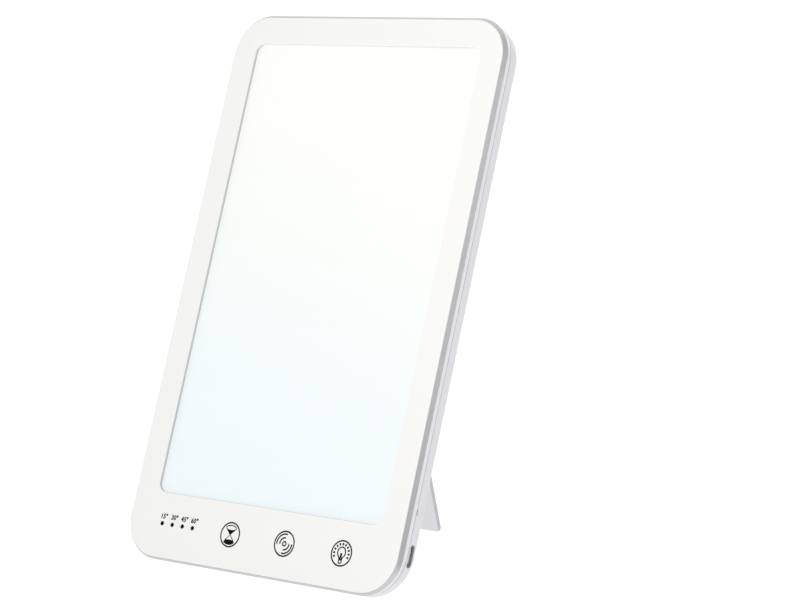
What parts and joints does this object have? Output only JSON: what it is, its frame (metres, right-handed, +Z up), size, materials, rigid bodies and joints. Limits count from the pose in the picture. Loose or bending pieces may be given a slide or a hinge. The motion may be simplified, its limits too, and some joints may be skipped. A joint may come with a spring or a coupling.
{
  "type": "light therapy lamp",
  "caption": "Slim upright light panel with a wide lit window and touch keys on its chin, leaning back on a narrow fold-out rear stand.",
  "frame": {"origin": "bottom centre of the bounding box, on the surface that the lamp stands on", "axes": "+Z up, the lit face looks along -Y and leans back, the stand opens towards +Y, and +X is to the right of someone who faces the lamp"},
  "size_m": [0.152, 0.1156, 0.2323],
  "materials": {
    "face_white": "smooth satin white moulded plastic",
    "trim_grey": "satin silver-grey coat on a bevelled ring",
    "shell_pale": "fine-textured pale grey-white moulded plastic",
    "opal": "translucent opal sheet, lit from behind",
    "clear_acrylic": "clear polished acrylic",
    "reflector_film": "white reflective film",
    "tray_aluminium": "plain rolled sheet",
    "zinc_steel": "zinc-plated steel",
    "board_green": "green solder mask on glass-fibre board",
    "board_white": "white solder mask with pale light packages",
    "chip_black": "black moulded resin",
    "lead_white": "white insulation and nylon",
    "smoked_lens": "smoked dark plastic",
    "nylon": "natural nylon",
    "pale_rubber": "soft pale grey silicone rubber",
    "socket_black": "black moulded plastic"
  },
  "bodies": {
    "panel": {"backing_tray": "tray_aluminium", "board_screw_1": "zinc_steel", "board_screw_2": "zinc_steel", "board_screw_3": "zinc_steel", "board_screw_4": "zinc_steel", "capacitor_left": "tray_aluminium", "capacitor_right": "tray_aluminium", "case_screw_1": "zinc_steel", "case_screw_2": "zinc_steel", "case_screw_3": "zinc_steel", "case_screw_4": "zinc_steel", "case_screw_5": "zinc_steel", "case_screw_6": "zinc_steel", "controller_chip": "chip_black", "diffuser_panel": "opal", "driver_chip_left": "chip_black", "driver_chip_right": "chip_black", "edge_trim": "trim_grey", "flex_socket": "socket_black", "foot_pad_left": "pale_rubber", "foot_pad_right": "pale_rubber", "front_bezel": "face_white", "hinge_pin_left": "zinc_steel", "hinge_pin_right": "zinc_steel", "hinge_washer_left": "nylon", "hinge_washer_right": "nylon", "inductor_left": "chip_black", "inductor_right": "chip_black", "led_lead_left": "lead_white", "led_lead_right": "lead_white", "led_socket_left": "lead_white", "led_socket_right": "lead_white", "led_strip_left": "board_white", "led_strip_right": "board_white", "light_guide": "clear_acrylic", "main_board": "board_green", "mid_frame": "shell_pale", "rear_shell": "shell_pale", "reflector_sheet": "reflector_film", "timer_lens_1": "smoked_lens", "timer_lens_2": "smoked_lens", "timer_lens_3": "smoked_lens", "timer_lens_4": "smoked_lens", "touch_board": "board_green", "touch_flex": "lead_white", "tray_screw_1": "zinc_steel", "tray_screw_2": "zinc_steel", "usb_contact_tongue": "socket_black", "usb_socket_shell": "zinc_steel"},
    "stand": {"kickstand_leg": "shell_pale", "leg_pad": "pale_rubber"}
  },
  "joints": [
    {"name": "stand_hinge", "type": "hinge", "parent": "panel", "child": "stand", "pos_m": [0, 0.01657, 0.13965], "axis": [1, 0, 0], "range_deg": [-36, 0]}
  ]
}
